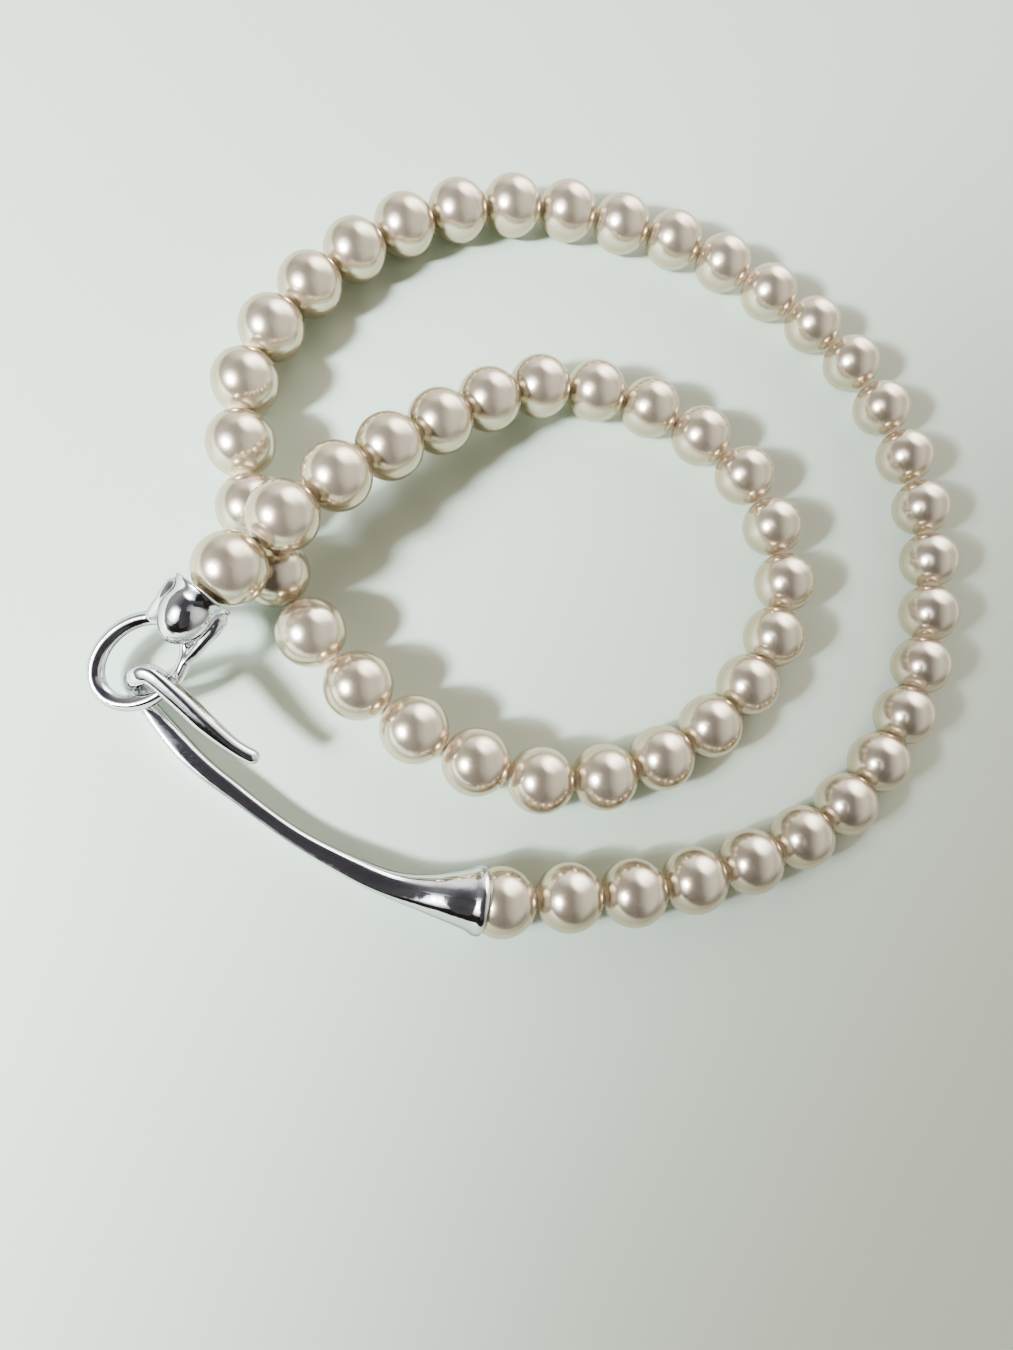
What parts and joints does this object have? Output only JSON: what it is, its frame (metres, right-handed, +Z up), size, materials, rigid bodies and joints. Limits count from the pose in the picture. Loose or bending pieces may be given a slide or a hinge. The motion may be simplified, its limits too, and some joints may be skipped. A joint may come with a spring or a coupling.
{
  "type": "pearl necklace",
  "caption": "Strand necklace of round shell pearls on a thread, fastened by a long silver hook through an oval ring on a silver cap, lying on a table in two loops.",
  "frame": {"origin": "on the table, under the middle of the lying necklace's bounding box", "axes": "+X along the large loop's width, away from the clasp; +Y across it, away from the hook; +Z up from the table"},
  "size_m": [0.1158, 0.1016, 0.0155],
  "materials": {
    "pearl": "lustrous shell pearl coating, off-white",
    "silver": "polished silver",
    "thread": "matt twisted silk"
  },
  "bodies": {
    "root": {"pearl_01": "pearl", "pearl_02": "pearl", "pearl_03": "pearl", "pearl_04": "pearl", "pearl_05": "pearl", "pearl_06": "pearl", "pearl_07": "pearl", "pearl_08": "pearl", "pearl_09": "pearl", "pearl_10": "pearl", "pearls_11_13": "pearl", "pearls_14_16": "pearl", "pearls_17_19": "pearl", "pearls_20_22": "pearl", "pearls_23_25": "pearl", "pearl_26": "pearl", "pearl_27": "pearl", "pearl_28": "pearl", "pearl_29": "pearl", "pearl_30": "pearl", "pearl_31": "pearl", "pearl_32": "pearl", "pearl_33": "pearl", "pearl_34": "pearl", "pearl_35": "pearl", "pearl_36": "pearl", "pearl_37": "pearl", "pearl_38": "pearl", "pearl_39": "pearl", "pearl_40": "pearl", "pearl_41": "pearl", "pearl_42": "pearl", "pearl_43": "pearl", "pearl_44": "pearl", "pearl_45": "pearl", "pearl_46": "pearl", "pearl_47": "pearl", "pearl_48": "pearl", "pearl_49": "pearl", "pearl_50": "pearl", "pearl_51": "pearl", "pearl_52": "pearl", "pearl_53": "pearl", "pearl_54": "pearl", "pearl_55": "pearl", "thread_hook_side": "thread", "thread_cap_side": "thread", "hook": "silver", "ring_cap": "silver"}
  },
  "joints": []
}
